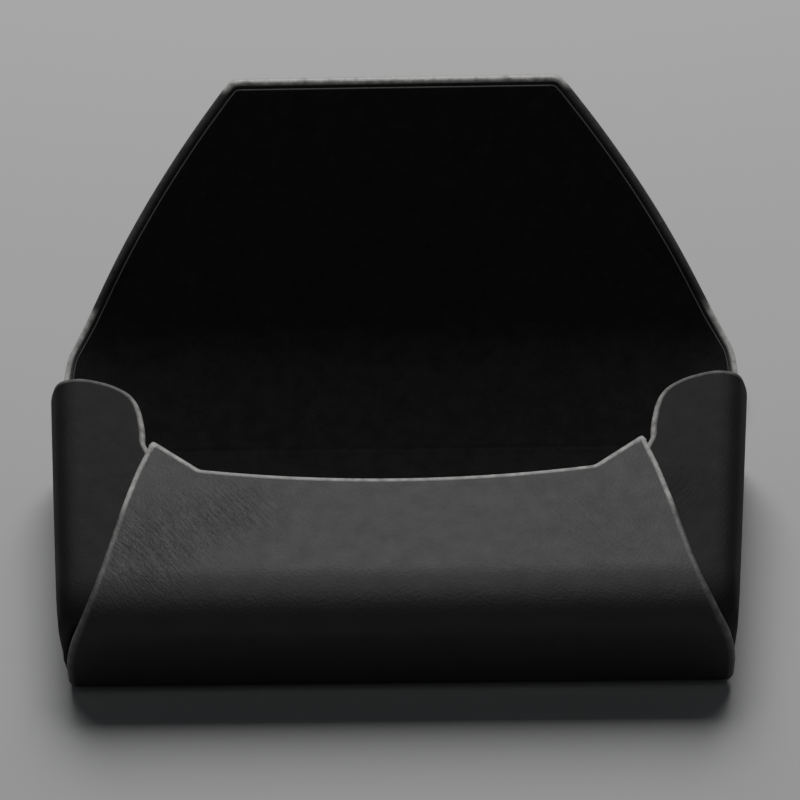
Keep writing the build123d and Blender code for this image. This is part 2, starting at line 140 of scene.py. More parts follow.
# %% [markdown]
# ## A skin with a turned edge
#
# A panel's leather is folded over the board all round and covered by the lining,
# which leaves a narrow border showing. In Blender this could be a solidify and a
# bevel modifier, but those can't leave a border. Instead the outline is moved
# inwards in steps, and each step is laid at its own depth: round the edge, across
# the border and down into the hollow. The faces inside the first and last ring are
# filled with triangles, and every point remembers where it lies on the flat sheet.


# %% Outline helpers
RING_STEP, RING_EASE = 0.2, 0.12  # mm moved at a time, and how far a ring is evened out


def finer(corners, step):
    """A closed outline with points no more than step apart."""
    out = []
    for a, b in zip(corners, np.roll(corners, -1, 0)):
        count = max(1, int(math.ceil(np.linalg.norm(b - a) / step)))
        out += [a + (b - a) * k / count for k in range(count)]
    return np.array(out)


def rounded(corners, radii):
    """The corners of a closed outline, with those in radii replaced by arcs."""
    corners = np.asarray(corners, float)
    out = []
    for i, point in enumerate(corners):
        if i not in radii:
            out.append(point)
            continue
        before = corners[i - 1] - point
        after = corners[(i + 1) % len(corners)] - point
        reach = min(radii[i], 0.45 * np.linalg.norm(before), 0.45 * np.linalg.norm(after))
        start = point + before / np.linalg.norm(before) * reach
        end = point + after / np.linalg.norm(after) * reach
        for t in np.linspace(0, 1, 7):
            out.append((1 - t) ** 2 * start + 2 * t * (1 - t) * point + t ** 2 * end)
    return np.array(out)


def smooth(points, step=1.0):
    """A smooth curve through the points, at about the given step."""
    points = np.asarray(points, float)
    run = np.concatenate(([0], np.cumsum(np.linalg.norm(np.diff(points, axis=0), axis=1))))
    slopes = np.gradient(points, run, axis=0)
    out = []
    for k in range(len(points) - 1):
        width = run[k + 1] - run[k]
        for t in np.linspace(0, 1, max(2, int(width / step) + 1))[:-1]:
            out.append((2 * t ** 3 - 3 * t ** 2 + 1) * points[k]
                       + (t ** 3 - 2 * t ** 2 + t) * width * slopes[k]
                       + (3 * t ** 2 - 2 * t ** 3) * points[k + 1]
                       + (t ** 3 - t ** 2) * width * slopes[k + 1])
    return np.vstack((out, points[-1:]))


def inset(outline, amount, hold):
    """The outline moved inwards by amount; hold is 0 for points that stay."""
    ring = outline.copy()
    steps = max(1, int(math.ceil(amount / RING_STEP)))
    for _ in range(steps if amount > 0 else 0):
        ahead = np.roll(ring, -1, 0) - ring
        behind = ring - np.roll(ring, 1, 0)
        ahead /= np.linalg.norm(ahead, axis=1)[:, None] + 1e-9
        behind /= np.linalg.norm(behind, axis=1)[:, None] + 1e-9
        tangent = ahead + behind
        tangent /= np.linalg.norm(tangent, axis=1)[:, None] + 1e-9
        inward = np.column_stack((-tangent[:, 1], tangent[:, 0]))
        ring = ring + inward * (amount / steps) * hold[:, None]
        middle = (np.roll(ring, -1, 0) + np.roll(ring, 1, 0)) / 2
        ring = ring + RING_EASE * (middle - ring) * hold[:, None]
    return ring


def inside(points, ring):
    """Which points lie inside a closed ring."""
    x, y = points[:, 0:1], points[:, 1:2]
    ax, ay = ring[:, 0], ring[:, 1]
    bx, by = np.roll(ax, -1), np.roll(ay, -1)
    crosses = (ay > y) != (by > y)
    at = ax + (y - ay) * (bx - ax) / np.where(by == ay, 1e-9, by - ay)
    return (crosses & (x < at)).sum(axis=1) % 2 == 1


def distance(points, ring):
    """Distance of each point from the nearest point of a ring."""
    out = np.empty(len(points))
    for k in range(0, len(points), 500):
        gap = points[k:k + 500, None, :] - ring[None, :, :]
        out[k:k + 500] = np.sqrt((gap ** 2).sum(-1)).min(1)
    return out


print("made: finer, rounded, smooth, inset, inside and distance, for flat outlines")

# %% [markdown]
# ## From an outline to a closed mesh
#
# A real panel is cut flat and then formed, and so is the mesh: rings and a lattice
# of points are laid out flat, joined into triangles, and only then moved onto the
# surface. A plane cut by a boolean would have a ragged edge; this one is exact.

# %% Fill a ring
LATTICE_GAP = 0.6  # share of the ring's spacing that is kept free beside it


def filled(ring, us, vs):
    """Triangles inside a ring, with points of a lattice between: the lattice points
    used, and faces that count the ring's points first."""
    grid = np.array([(u, v) for u in us for v in vs])
    grid = grid[inside(grid, ring)]
    spacing = np.linalg.norm(ring - np.roll(ring, 1, 0), axis=1).mean()
    grid = grid[distance(grid, ring) > LATTICE_GAP * spacing]
    count = len(ring)
    every = [Vector(p) for p in np.vstack((ring, grid))]
    edges = [(i, (i + 1) % count) for i in range(count)]
    verts, _, faces, came_from, _, _ = delaunay_2d_cdt(every, edges, [], 1, 1e-5)
    index = {}
    for new, old in enumerate(came_from):
        index[new] = min(old) if old else None
    extra = []
    for new, old in index.items():
        if old is None:
            index[new] = count + len(grid) + len(extra)
            extra.append(tuple(verts[new]))
    if extra:
        grid = np.vstack((grid, np.array(extra)))
    return grid, [[index[i] for i in face] for face in faces]


print("made: filled, which triangulates the inside of a ring")


# %% The skin builder
def skin(name, outline, surface, us, vs, profile, hold=None, worked=None, rubbed_and_highlit=None):
    """A closed skin over the outline. profile lists (inset, depth) from the middle
    of one face, round the edge, to the middle of the other. worked says where the
    leather is creased; the rubbed mask says how much its free edge is paler, from
    wear and from painted highlight."""
    hold = np.ones(len(outline)) if hold is None else hold
    count = len(outline)
    rings, places, flat, faces = [], [], [], []
    for amount, depth in profile:
        ring = inset(outline, amount, hold)
        rings.append(ring)
        depths = np.full(count, float(depth))
        places.append(surface(ring[:, 0], ring[:, 1], depths))
        flat.append(np.column_stack((ring, depths)))
    for k in range(len(profile) - 1):
        for i in range(count):
            j = (i + 1) % count
            faces.append((k * count + i, (k + 1) * count + i,
                          (k + 1) * count + j, k * count + j))
    for which, flip in ((0, False), (len(profile) - 1, True)):
        grid, triangles = filled(rings[which], us, vs)
        base = sum(len(p) for p in places)
        depths = np.full(len(grid), float(profile[which][1]))
        places.append(surface(grid[:, 0], grid[:, 1], depths))
        flat.append(np.column_stack((grid, depths)))
        for face in triangles:
            face = [which * count + i if i < count else base + i - count for i in face]
            faces.append(face[::-1] if flip else face)
    mesh = bpy.data.meshes.new(name)
    mesh.from_pydata(in_frame(np.vstack(places)).tolist(), [], faces)
    flat = np.vstack(flat)
    lay = mesh.attributes.new("lay", "FLOAT_VECTOR", "POINT")
    lay.data.foreach_set("vector", flat.astype(np.float32).ravel())
    rim = mesh.attributes.new("from_edge", "FLOAT", "POINT")
    free = outline[hold > 0.5]
    rim.data.foreach_set("value", distance(flat[:, :2], free).astype(np.float32))
    # the rubbed mask holds edge wear together with painted highlight on the rims
    for label, amount in (("worked", worked), ("rubbed_and_highlit", rubbed_and_highlit)):
        if amount is not None:
            field = mesh.attributes.new(label, "FLOAT", "POINT")
            field.data.foreach_set(
                "value", amount(flat[:, 0], flat[:, 1]).astype(np.float32))
    work = bmesh.new()
    work.from_mesh(mesh)
    bmesh.ops.recalc_face_normals(work, faces=work.faces)
    work.to_mesh(mesh)
    work.free()
    mesh.shade_smooth()
    piece = bpy.data.objects.new(name, mesh)
    bpy.context.scene.collection.objects.link(piece)
    return piece


print("made: skin, a closed mesh with its place on the flat sheet")

# %% [markdown]
# ## Two edge profiles
#
# The hide's edge is turned over and pressed, so it is round. The suede is cut with
# a knife and glued down inside the hem, so its edge is low and only slightly soft.
# A profile lists how far in and how deep each ring lies, all in millimetres.

# %% Edge profiles
EDGE_ROUND = 0.9  # how far in from its edge the turned hide is round
LIP, LIP_DROP = 0.12, 0.25  # the hem's own cut edge: its width and height
LINING_GAP, LINING_RISE = 0.22, 0.22  # gap beside the hem, and height over it
SOFT_CUT = [(0.16, 0.14), (0.3, 0.02), (0.7, 0.0)]  # past the hem, and below the top


def turned_edge(steps=6):
    """Profile of a leather skin with a rounded, turned edge and a hollow for board."""
    half = SHEET / 2
    turn = [(EDGE_ROUND * (1 - math.cos(a)), half * (1 + math.sin(a)))
            for a in np.linspace(-math.pi / 2, math.pi / 2, 2 * steps + 1)]
    return turn + [(HEM, SHEET - 0.05), (HEM + LIP, SHEET - LIP_DROP), (HEM + LIP, LEATHER)]


def cut_edge():
    """Profile of the lining: a thin slab with a soft cut edge."""
    low, top = LEATHER + BOARD, SHEET + LINING_RISE
    return [(HEM + LINING_GAP, low)] + [(HEM + past, top - drop) for past, drop in SOFT_CUT]


print("a turned edge takes", len(turned_edge()), "rings, a cut edge", len(cut_edge()))

# %% [markdown]
# ## The front panel
#
# The front panel and the bottom wall are one piece of leather: up from the table,
# round a wide bend and back towards the mouth. It narrows towards its two raised
# ears, and between them the edge dips so that fingers reach inside.


# %% The front panel's path
def sheet_length(y):
    """Length along the front panel's face from the table to depth y."""
    if y < BEND_RADIUS:
        return WALL_TOP + BEND_RADIUS * math.acos((BEND_RADIUS - y) / BEND_RADIUS)
    return WALL_TOP + BEND_RADIUS * math.pi / 2 + (y - BEND_RADIUS)


# half widths of the bottom wall and front panel, left and right, up the sheet
SIDE_UP = [0, 8, 12, 16, 20, 24, 28, 32, 36, 40, 48, 56, 64, 68, 78]
SIDE_LEFT = [77.3, 77.3, 76.7, 75.6, 74.1, 72.5, 70.9, 69.5, 68.5, 67.8, 66.3, 64.9,
             63.2, 62.2, 59.2]
SIDE_RIGHT = [78.2, 78.3, 77.9, 77.0, 75.6, 73.9, 72.2, 70.5, 69.2, 68.3, 66.6, 65.1,
              63.2, 62.2, 59.2]


def edge_x(along, widths=None):
    """Half width of the bottom wall and front panel at a length along the sheet."""
    if widths is None:
        widths = (np.array(SIDE_LEFT) + SIDE_RIGHT) / 2
    return np.interp(along, SIDE_UP, widths)


front_path = Path(LOW_RADIUS, 0.0, math.pi)
front_path.bend(LOW_RADIUS * math.pi / 2, -math.pi / 2)
front_path.run(WALL_TOP - LOW_RADIUS)
front_path.bend(BEND_RADIUS * (math.pi / 2 - FRONT_SLOPE), -(math.pi / 2 - FRONT_SLOPE))
front_path.run(CASE_LENGTH)
front_path.ready()
START = LOW_RADIUS * (math.pi / 2 - 1)  # path length minus height on the wall


def front_surface(x, s, depth):
    """The front panel's sheet; its lined side faces the pocket."""
    y, z, heading = front_path.at(s)
    return np.column_stack((
        x, y + np.sin(heading) * depth, z - np.cos(heading) * depth))


print(f"the front sheet is {front_path.length[-1]:.1f} mm long along its path")

# %% The front panel's outline
# the rounded bottom corner, from the side and from the sheet's start
CORNER = [(-2.6, 0.4), (-0.7, 0.9), (0.0, 2.9)]
EAR_ROUND, NOTCH_ROUND = 2.0, 0.7


def front_outline():
    """Outline of the front panel, right side first, then back down the left."""
    ear, notch, dip = (sheet_length(y) + START for y in (EAR_Y, NOTCH_Y, DIP_Y))
    halves = []
    for widths in (SIDE_RIGHT, SIDE_LEFT):
        base = widths[0]
        side = [(base + out, START + up) for out, up in CORNER]
        ups = np.arange(8, 76, 3.0)
        side += smooth([(float(edge_x(s, widths)), s + START) for s in ups], 2.0).tolist()
        halves.append(side + [(widths[-1], ear), (NOTCH_HALF, notch)])
    right, left = halves
    dips = [(NOTCH_HALF * t, dip + (notch - dip) * t ** 2)
            for t in np.linspace(0.94, -0.94, 33)]
    both = right + dips + [(-x, s) for x, s in left[::-1]]
    last = len(right) - 1
    rounds = {last - 1: EAR_ROUND, last: NOTCH_ROUND}
    rounds.update({len(both) - len(left): NOTCH_ROUND,
                   len(both) - len(left) + 1: EAR_ROUND})
    return finer(rounded(both, rounds), 1.0)


front_edge = front_outline()
print("the front panel's outline has", len(front_edge), "points")

# %% [markdown]
# ## Where the front panel shows use and painted highlight
#
# Leather creases where it has been flexed and turns pale where hands rub it, and the
# pale edges also carry a painted highlight where the rims catch light. Both could be
# painted by hand. Here smooth hills over the flat sheet do the same, and are stored on
# the mesh for the material to read.


# %% The front panel
def bump_at(a, b, at, size):
    """A smooth hill of height 1 at a place, with its half widths."""
    return np.exp(-((a - at[0]) / size[0]) ** 2 - ((b - at[1]) / size[1]) ** 2)


def front_worked(x, s):
    """Where the front panel's leather has been bent about and shows fine creases."""
    return np.clip(bump_at(x, s, (-58, 42), (12, 16)) + 0.8 * bump_at(x, s, (-38, 55), (10, 9))
                   + 0.25 * bump_at(x, s, (45, 50), (14, 16)) + 0.06, 0, 1)


def front_rubbed_and_highlit(x, s):
    """Edge wear and painted highlight: strongest at the mouth's edge, least at the bottom
    corners.
    """
    return 0.22 + 0.2 * np.clip((s - 30) / 25, 0, 1) + 0.8 * np.clip((s - 54) / 6, 0, 1)


across = np.concatenate((np.arange(-88, -62, 0.8), np.arange(-62, 62.1, 1.4),
                         np.arange(62.8, 88.1, 0.8)))
front_rows = np.concatenate((np.arange(0.3, 5, 0.45), np.arange(5, 80, 1.2)))
front = skin("front_panel", front_edge, front_surface, across, front_rows, turned_edge(),
             worked=front_worked, rubbed_and_highlit=front_rubbed_and_highlit)
front_suede = skin("front_lining", front_edge, front_surface, across, front_rows, cut_edge())
print("front panel:", len(front.data.vertices), "points")

# %% [markdown]
# ## The back, the flap's first panel and the flap
#
# These three are one long sheet that is bent at two creases. It is built in one
# piece, so that leather and lining run through without a seam, and it is cut
# across the middle of the first panel afterwards, where it is flat: each half
# then bends over one crease only, and the cut doesn't show.

# %% The long sheet's path
SOFT_1, SOFT_2 = 3.0, 7.5  # how far each side of a crease the sheet starts to turn


def creased_path():
    """The side view of back, first panel and flap, and the lengths of both creases."""
    path = Path(LOW_RADIUS, SHEET / 2, 0.0)
    path.run(CASE_LENGTH - LOW_RADIUS - SOFT_1)
    creases = []
    bends = ((WALL_ANGLE, SOFT_1), (FLAP_ANGLE - WALL_ANGLE, SOFT_2))
    for number, (turn, soft) in enumerate(bends):
        radius = soft / math.tan(turn / 2)
        path.bend(radius * turn, turn)
        creases.append(np.hypot(*np.diff(np.array(path.points), axis=0).T).sum() - soft)
        if number == 0:
            path.run(WALL_LENGTH - SOFT_1 - SOFT_2)
    path.bend(FLAP_LENGTH - SOFT_2, FLAP_CURL)
    path.run(6)
    return path.ready(), creases


long_path, (CREASE_1, CREASE_2) = creased_path()
TIP = CREASE_2 + FLAP_LENGTH
print(f"creases at {CREASE_1:.1f} and {CREASE_2:.1f} mm along the sheet, tip at {TIP:.1f}")

# %% The long sheet's surface
GROOVE_DEPTH, GROOVE_HALF = 0.25, 0.7
# the facet's line meets the side at FACET_UP above the crease and runs up and inwards
FACET_X, FACET_UP, FACET_SLOPE, FACET_ACROSS = 79.4, 11, 1.12, 0.67
FACET_LIFT, FACET_WIDEST, FACET_SOFT = 0.42, 7, 0.2


def pressed(x, s):
    """How far the long sheet is pushed towards its lined side: a groove pressed along
    the mouth crease, and a small facet folded forwards at each side of the flap."""
    groove = -GROOVE_DEPTH * np.exp(-((s - CREASE_1) / GROOVE_HALF) ** 2)
    up = s - CREASE_2
    out = (np.abs(x) - FACET_X + FACET_SLOPE * (up - FACET_UP)) * FACET_ACROSS
    beyond = np.where(out > 0, np.sqrt(out ** 2 + FACET_SOFT) - 0.447, 0)
    fade = np.clip(1 - (up - 14) / 24, 0, 1) * np.clip((up - 6) / 5, 0, 1)
    return groove + FACET_LIFT * np.minimum(beyond, FACET_WIDEST) * fade ** 1.3


def long_surface(x, s, depth):
    """The long sheet; depth grows from the leather's outer face to the lining."""
    y, z, heading = long_path.at(s)
    depth = depth - SHEET / 2 + pressed(x, s)
    return np.column_stack((
        x, y - np.sin(heading) * depth, z + np.cos(heading) * depth))


print("the facets rise by", FACET_LIFT, "mm for each mm past their line")

# %% [markdown]
# ## The long sheet's outline
#
# The back's sides run straight to the mouth, where the sheet widens and bows out
# beside the first panel, then slants in to the flap's short tip. Each side is a
# table of shares of the panel it belongs to, so the shape follows the sizes.

# %% The long sheet's outline
TIP_ROUND = 4.5


def fold_x(y):
    """Half width of the flat back panel at depth y."""
    part = (y - WING_Y) / (MOUTH_Y - WING_Y)
    return BASE_HALF - 3.4 + (MOUTH_HALF - 5.5 - BASE_HALF + 3.4) * part


WALL_SIDES = [(0, -5.3), (0.125, -3.3), (0.31, -0.9), (0.56, 0.7), (0.75, 0.9), (0.94, -0.1)]
FLAP_SIDES = [(0.03, 0.018), (0.113, 0.088), (0.183, 0.146), (0.254, 0.204),
              (0.394, 0.325), (0.535, 0.46), (0.676, 0.608), (0.817, 0.768), (0.958, 0.94)]


def long_outline():
    """Outline of the long sheet, up the right side and back down the left."""
    side = [(MOUTH_HALF + wider, CREASE_1 + WALL_LENGTH * part)
            for part, wider in WALL_SIDES]
    start = MOUTH_HALF - 0.9
    side += [(start - share * (start - TIP_HALF), CREASE_2 + FLAP_LENGTH * part)
             for part, share in FLAP_SIDES]
    side = smooth(side).tolist()
    back_end = CREASE_1 - 2.5
    right = [(fold_x(LOW_RADIUS), 0.0), (fold_x(LOW_RADIUS + back_end), back_end)] + side
    right.append((TIP_HALF, TIP))
    both = right + [(-x, s) for x, s in right[::-1]]
    rounds = {len(right) - 1: TIP_ROUND, len(right): TIP_ROUND}
    return finer(rounded(both, rounds), 1.0)


long_edge = long_outline()
print("the long sheet's outline has", len(long_edge), "points")

# %% [markdown]
# ## Build the long sheet
#
# The back's own sides carry on into the wings, so their edge isn't free: it is held,
# which keeps it from being rounded, worn or given painted highlight. Only the first
# panel and the flap have a turned edge. The rows of points are closer where the sheet
# bends.


# %% The long sheet
def long_rubbed_and_highlit(x, s):
    """Edge wear and painted highlight on the first panel's sides and the flap's tip, less on
    its slanted sides.
    """
    sides = 1.3 * np.clip((CREASE_2 + 12 - s) / 3, 0, 1)
    return 0.15 + np.maximum(sides, 1.2 * np.clip((s - TIP + 4) / 2, 0, 1))


long_hold = np.clip((long_edge[:, 1] - CREASE_1 + 4) / 4, 0, 1)
long_rows = np.unique(np.concatenate((
    np.arange(1, TIP, 1.5), np.arange(CREASE_1 - 5, CREASE_1 + 5, 0.5),
    np.arange(CREASE_2 - 8, CREASE_2 + 8, 0.7), np.arange(CREASE_2 + 8, CREASE_2 + 34, 0.8)
    )).round(3))
long_leather = skin("long_leather", long_edge, long_surface, across, long_rows,
                    turned_edge(), long_hold, rubbed_and_highlit=long_rubbed_and_highlit)
long_suede = skin("long_lining", long_edge, long_surface, across, long_rows,
                  cut_edge(), long_hold)
print("long sheet:", len(long_leather.data.vertices), "points")

# %% [markdown]
# ## Cut the long sheet in two
#
# A piece can bend over one crease only, between two rigid parts. A plane across the
# middle of the first panel divides the sheet there, and both ends are closed. The
# cut faces lie against each other, so no gap shows.


# %% Cut across the flap's first panel
def cut_in_two(piece, names):
    """Cuts a closed piece across the middle of the first panel, and closes both."""
    y, z, heading = long_path.at((CREASE_1 + CREASE_2) / 2)
    place = Vector(in_frame([(0, y, z)])[0])
    facing = Vector((0, math.cos(heading), math.sin(heading)))
    halves = []
    for name, sign in zip(names, (1, -1)):
        half = piece.copy()
        half.data = piece.data.copy()
        half.name = half.data.name = name
        work = bmesh.new()
        work.from_mesh(half.data)
        geometry = work.verts[:] + work.edges[:] + work.faces[:]
        cut = bmesh.ops.bisect_plane(work, geom=geometry, plane_co=place,
                                     plane_no=facing * sign, clear_outer=True)
        border = [e for e in cut["geom_cut"] if isinstance(e, bmesh.types.BMEdge)]
        bmesh.ops.edgenet_fill(work, edges=border)
        for edge in border:
            edge.smooth = False
        bmesh.ops.recalc_face_normals(work, faces=work.faces)
        work.to_mesh(half.data)
        work.free()
        bpy.context.scene.collection.objects.link(half)
        halves.append(half)
    bpy.data.objects.remove(piece)
    return halves


back, flap = cut_in_two(long_leather, ("back_and_crease", "flap_and_crease"))
back_suede, flap_suede = cut_in_two(long_suede, ("back_lining_run", "flap_lining_run"))
print("cut into", back.name, "and", flap.name)

# %% [markdown]
# ## The wings
#
# Each wing is the side of the same hide, folded up from the back panel, rounded
# over at its shoulder and tucked under the front panel. Its section changes from
# the tight bottom corner to the wide mouth, so the surface function looks up the
# section at each depth and measures along it.


# %% A wing's section
CLEARANCE = 0.8  # between a wing and the front panel over it
BEHIND_WALL, SPREAD = 0.7, 2.0  # set back behind the wall's edge; mm wider for each mm


def under_front(y):
    """Height of the front panel's inner face at depth y."""
    inner = BEND_RADIUS - SHEET
    if y < BEND_RADIUS:
        return WALL_TOP + math.sqrt(max(0.0, inner ** 2 - (BEND_RADIUS - y) ** 2))
    return WALL_TOP + inner + (y - BEND_RADIUS) * math.tan(FRONT_SLOPE)


def widest_x(y):
    """Half width of the case across both wings at depth y."""
    return BASE_HALF + 1.1 + 0.1085 * y


def behind_wall(z, y):
    """Near the bottom wall a wing draws in behind the wall's side edge."""
    along = np.where(z < WALL_TOP, z, WALL_TOP + BEND_RADIUS * np.arcsin(
        np.clip((z - WALL_TOP) / BEND_RADIUS, 0, 1)))
    return edge_x(along) - BEHIND_WALL + SPREAD * (y - WING_Y)


def wing_section(y):
    """The right wing's outer line at depth y, as (lengths, x, z) from the fold."""
    xf, xm = fold_x(y), widest_x(y)
    under = under_front(y) - CLEARANCE - max(0.0, 1 - y / BEND_RADIUS)
    rise = min(1.0, max(0.0, (y - BEND_RADIUS) / (MOUTH_Y - BEND_RADIUS)))
    top = under + WING_PUFF * math.sin(rise * math.pi / 2)
    r, f = SHOULDER + 0.8 * rise, FOLD_RADIUS
    edge = float(edge_x(sheet_length(y)))
    tuck = edge - TUCK
    points = [(xf, 0.0), (xf + f * 0.383, f * 0.076), (xf + f * 0.707, f * 0.293),
              (xf + f * 0.95, f * 0.69), (xm - 0.35, 0.3 * top), (xm, 0.5 * top),
              (xm - 0.12 * r, top - 0.62 * r), (xm - 0.29 * r, top - 0.29 * r),
              (xm - 0.6 * r, top - 0.075 * r), (xm - r, top)]
    flat = xm - r
    for part in (0.25, 0.5, 0.75, 1.0):
        x = flat + part * (tuck - flat)
        share = min(1.0, max(0.0, (x - edge) / max(flat - edge, 0.001)))
        points.append((x, under - 0.25 * part + (top - under) * share))
    line = smooth(points, 0.4)
    line[:, 0] = np.minimum(line[:, 0], behind_wall(line[:, 1], y))
    run = np.concatenate(([0], np.cumsum(np.linalg.norm(np.diff(line, axis=0), axis=1))))
    return run, line[:, 0], line[:, 1]


sections = {}


def section_at(y):
    """The section at a depth, worked out once for each hundredth of a millimetre."""
    key = round(float(y), 2)
    if key not in sections:
        sections[key] = wing_section(key)
    return sections[key]


def on_wing(w, y):
    """Points of the outer face at lengths w along the sections at depths y."""
    out = np.empty((len(w), 3))
    for i, (a, b) in enumerate(zip(w, y)):
        run, x, z = section_at(b)
        out[i] = np.interp(a, run, x), b, np.interp(a, run, z)
    return out


print(f"half way back a wing's section is {section_at(38)[0][-1]:.1f} mm long")

# %% [markdown]
# ## A wing's surface, its use and its painted highlight
#
# The lining lies inside the curve, so each layer is moved along the surface's
# normal, which comes from two nearby points each way. A solidify modifier does the
# same, but it couldn't keep the turned hem.


# %% A wing's surface
def wing_worked(w, y):
    """Fine creases on a wing's shoulder."""
    return np.clip(0.9 * bump_at(w, y, (45, 36), (9, 8)) + 0.05, 0, 1)


def wing_rubbed_and_highlit(w, y):
    """Rim wear and painted highlight, strongest where the rim dives under the front panel."""
    return 0.42 + 0.7 * np.clip((75 - y) / 10, 0, 1)


def wing_surface(side):
    """A wing's surface function; side is 1 for the right wing and -1 for the left."""
    def surface(w, y, depth):
        y = np.clip(y, 0.3, 200)
        step = 0.5
        along = on_wing(w + step, y) - on_wing(np.maximum(w - step, 0), y)
        back_ = on_wing(w, y + step) - on_wing(w, np.maximum(y - step, 0.3))
        normal = np.cross(along, back_)
        normal /= np.linalg.norm(normal, axis=1)[:, None]
        points = on_wing(w, y) + normal * depth[:, None]
        points[:, 0] *= side
        return points
    return surface


print("made: wing_surface, for either side")

# %% [markdown]
# ## A wing's outline
#
# Seen from above, a wing's rim runs level from its outer corner and curls round to
# dive under the ear. The outline is needed on the flat sheet instead, so each point
# of the rim is looked up as a length along the section at its depth.

# %% A wing's outline
# the rim from the outer corner round to the ear, seen from above
RIM = [(85.9, 74.5), (85.0, 74.8), (81.7, 75.0), (79.3, 75.1), (76.1, 75.1), (73.4, 74.8),
       (70.7, 74.1), (68.2, 72.9), (65.9, 71.3), (64.1, 68.9), (62.8, 65.8), (62.0, 62.5),
       (61.3, 58.5), (61.0, 54.9)]


def length_at(x, y):
    """Length along the section at depth y where its upper part passes x."""
    run, xs, _ = section_at(y)
    top = int(np.argmax(xs))
    return float(np.interp(-x, -xs[top:], run[top:]))


def wing_outline():
    """Outline of a wing, as lengths along its sections and depths."""
    rim = [(length_at(x, y), y) for x, y in smooth(RIM, 0.8)]
    ends = [(length_at(58.0, EAR_Y - 4.5), EAR_Y - 4.5)]
    for y in (EAR_Y - 7, 38, 30, 23, 17, 13, 10, 8, 6, 4.5, WING_Y):
        tucked = float(edge_x(sheet_length(y))) - TUCK + 0.8
        ends.append((length_at(tucked, y), y))
    # the rim's foot is cut back, which clears the crease when the flap closes
    foot = [(8.0, 74.6), (4.0, 73.8), (1.5, 72.6), (0.0, 71.0)]
    corners = [(0.0, WING_Y)] + ends[::-1] + rim[::-1] + foot
    return finer(np.array(corners), 0.9)


wing_edge = wing_outline()
print("a wing's outline has", len(wing_edge), "points")

# %% [markdown]
# ## Build both wings
#
# The two wings are mirror images, so one outline serves both. Each gets its leather,
# its lining and the board between them, which has to follow the same curve to stay
# hidden. At the fold and at the bottom wall the edge is held, as it isn't free.

# %% The wings
wing_hold = np.clip(np.minimum(wing_edge[:, 0], wing_edge[:, 1] - WING_Y) / 3, 0, 1)
wing_columns = np.arange(0.8, 70, 0.9)
wing_rows = np.arange(3.5, 78, 1.4)
wings, wing_suedes = [], []
for side, word in ((1, "right"), (-1, "left")):
    surface = wing_surface(side)
    wings.append(skin(f"wing_{word}", wing_edge, surface, wing_columns, wing_rows,
                      turned_edge(), wing_hold, wing_worked if side > 0 else None,
                      wing_rubbed_and_highlit))
    wing_suedes.append(skin(f"wing_lining_{word}_suede", wing_edge, surface, wing_columns,
                            wing_rows, cut_edge(), wing_hold))
BOARD_GAP, GLUE = 0.15, 0.02
board_slab = [(HEM + BOARD_GAP, LEATHER + GLUE), (HEM + BOARD_GAP, LEATHER + BOARD - GLUE)]
wing_boards = [skin(f"wing_board_{word}_cut", wing_edge, wing_surface(side), wing_columns,
                    wing_rows, board_slab, wing_hold)
               for side, word in ((1, "right"), (-1, "left"))]
print("wings:", [len(w.data.vertices) for w in wings], "points")

# %% [markdown]
# ## Finishes shared by several materials
#
# Leather, suede and board all need slow changes of tone, and two of them need fine
# grain. Each effect is a node group, built once, with its own inputs. The groups
# read the place on the flat sheet, which every skin carries as the attribute
# "lay", so that grain runs round a bend as it does on real hide.


# %% Node helpers
def new_group(name, ins, outs):
    """An empty shader group with its sockets; returns it with both its ends."""
    tree = bpy.data.node_groups.new(name, "ShaderNodeTree")
    for label, kind, value in ins:
        socket = tree.interface.new_socket(label, in_out="INPUT", socket_type=kind)
        if value is not None:
            socket.default_value = value
    for label, kind in outs:
        tree.interface.new_socket(label, in_out="OUTPUT", socket_type=kind)
    return tree, tree.nodes.new("NodeGroupInput"), tree.nodes.new("NodeGroupOutput")


def add(tree, kind, links=(), **values):
    """A node with its plain values set and its inputs linked."""
    node = tree.nodes.new(kind)
    for key, value in values.items():
        setattr(node, key, value)
    for socket, source in links:
        if hasattr(source, "is_output"):
            tree.links.new(source, node.inputs[socket])
        else:
            node.inputs[socket].default_value = source
    return node


def maths(tree, operation, a, b=0.0, clamp=False):
    """The output of a math node on two values or sockets."""
    node = add(tree, "ShaderNodeMath", [(0, a), (1, b)], operation=operation)
    node.use_clamp = clamp
    return node.outputs[0]


FLOAT, VECTOR = "NodeSocketFloat", "NodeSocketVector"
print("made: new_group, add and maths, for building node trees")

# %% [markdown]
# ## Fine grain
#
# Hide is covered in small pebbles between fine furrows, with pores here and there.
# An image of leather would do, but it stretches and repeats. Smooth Voronoi cells
# give pebbles of one size at any place, and a little noise breaks up their order.

# %% Group: fine grain
grain, g_in, g_out = new_group(
    "fine_grain", [("Place", VECTOR, None), ("Cells per mm", FLOAT, 1.6)],
    [("Height", FLOAT)])
cells = add(grain, "ShaderNodeTexVoronoi", [
    ("Vector", g_in.outputs["Place"]), ("Scale", g_in.outputs["Cells per mm"])],
    feature="SMOOTH_F1")
cells.inputs["Smoothness"].default_value = 0.35
cells.inputs["Randomness"].default_value = 1.0
pores = add(grain, "ShaderNodeTexNoise", [("Vector", g_in.outputs["Place"])])
pores.inputs["Scale"].default_value = 3.2
pores.inputs["Detail"].default_value = 3.0
domes = maths(grain, "SUBTRACT", 1.0, cells.outputs["Distance"])
both = maths(grain, "ADD", domes, maths(grain, "MULTIPLY", pores.outputs["Fac"], 0.7))
grain.links.new(both, g_out.inputs["Height"])
print("fine_grain:", len(grain.nodes), "nodes")

# %% [markdown]
# ## Slow changes of tone
#
# Dye and nap never lie quite evenly. One noise, swinging about 1, can be multiplied
# with a colour or with a roughness, so the same group serves hide, suede, board and
# metal at different sizes.

